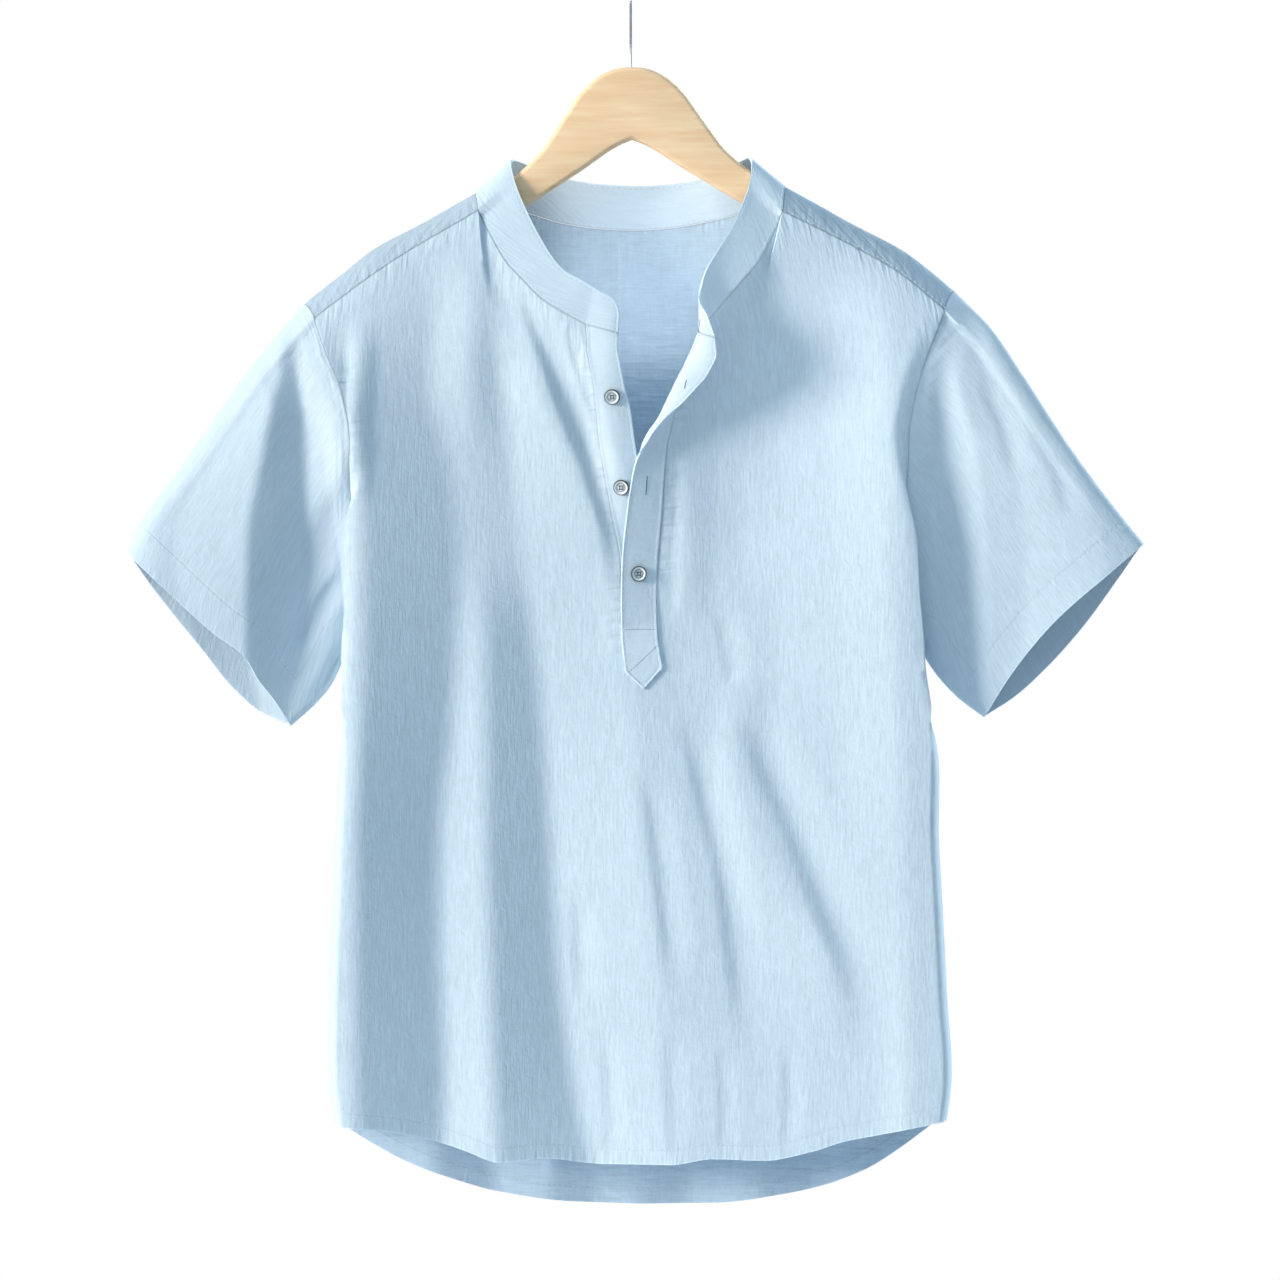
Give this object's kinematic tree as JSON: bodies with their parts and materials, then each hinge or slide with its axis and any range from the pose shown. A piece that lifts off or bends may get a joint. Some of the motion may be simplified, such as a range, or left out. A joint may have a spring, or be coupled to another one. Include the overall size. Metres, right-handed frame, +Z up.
{
  "type": "band-collar popover shirt on a wooden hanger",
  "caption": "Short-sleeved popover shirt with a band collar and a half button placket, hanging open-necked on a flat wooden hanger with a wire hook.",
  "frame": {"origin": "inner top of the hook, where it rests on its rail", "axes": "+Z up, +Y from the shirt's front to its back, +X to the right of someone facing the front"},
  "size_m": [0.7696, 0.1062, 0.9296],
  "materials": {
    "cloth": "matt slub linen and cotton",
    "buttons": "satin",
    "wood": "smooth, clear lacquer",
    "steel": "smooth wire"
  },
  "bodies": {
    "root": {"front": "cloth", "back": "cloth", "sleeve_left": "cloth", "sleeve_right": "cloth", "collar_band": "cloth", "placket_over": "cloth", "placket_under": "cloth", "button_1": "buttons", "button_2": "buttons", "button_3": "buttons", "hanger": "wood", "hook": "steel"}
  },
  "joints": []
}
